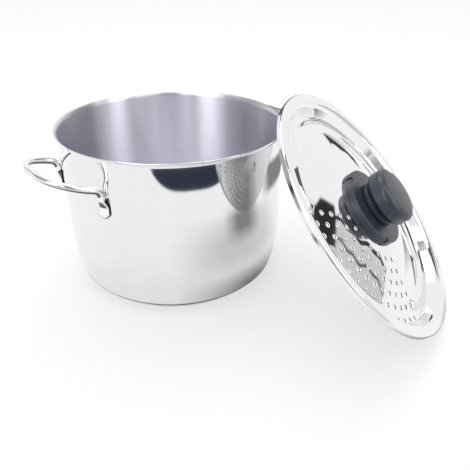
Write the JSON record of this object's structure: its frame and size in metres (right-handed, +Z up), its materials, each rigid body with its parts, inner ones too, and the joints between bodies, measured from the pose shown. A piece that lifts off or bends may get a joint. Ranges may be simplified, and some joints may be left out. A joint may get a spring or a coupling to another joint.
{
  "type": "pasta pot with strainer lid",
  "caption": "Straight-walled steel pasta pot with wire loop handles and a perforated strainer lid that leans on its edge beside it.",
  "frame": {"origin": "centre of the underside of the pot's base, on the surface that the pot stands on", "axes": "+Z up along the pot's axis, +X through the right-hand wire handle, +Y level, away from the side on which the lid stands"},
  "size_m": [0.3683, 0.3859, 0.1908],
  "materials": {
    "pot_steel": "mirror polished outside, brushed round inside",
    "base_steel": "satin, brushed round",
    "core_aluminium": "plain, closed in",
    "wire_steel": "polished",
    "lid_steel": "mirror polished",
    "bakelite": "satin dark blue-grey",
    "insert_brass": "plain, closed in",
    "screw_steel": "plain"
  },
  "bodies": {
    "pot": {"pot_shell": "pot_steel", "base_cap": "base_steel", "base_core": "core_aluminium", "handle_left": "wire_steel", "handle_right": "wire_steel"},
    "lid": {"lid_shell": "lid_steel", "knob_base": "bakelite", "knob_grip": "bakelite", "knob_insert": "insert_brass", "knob_washer": "screw_steel", "knob_screw": "screw_steel"}
  },
  "joints": [
    {"name": "lid_lift", "type": "slide", "parent": "pot", "child": "lid", "axis": [0, 0, 1], "range_m": [0, 0.2]}
  ]
}
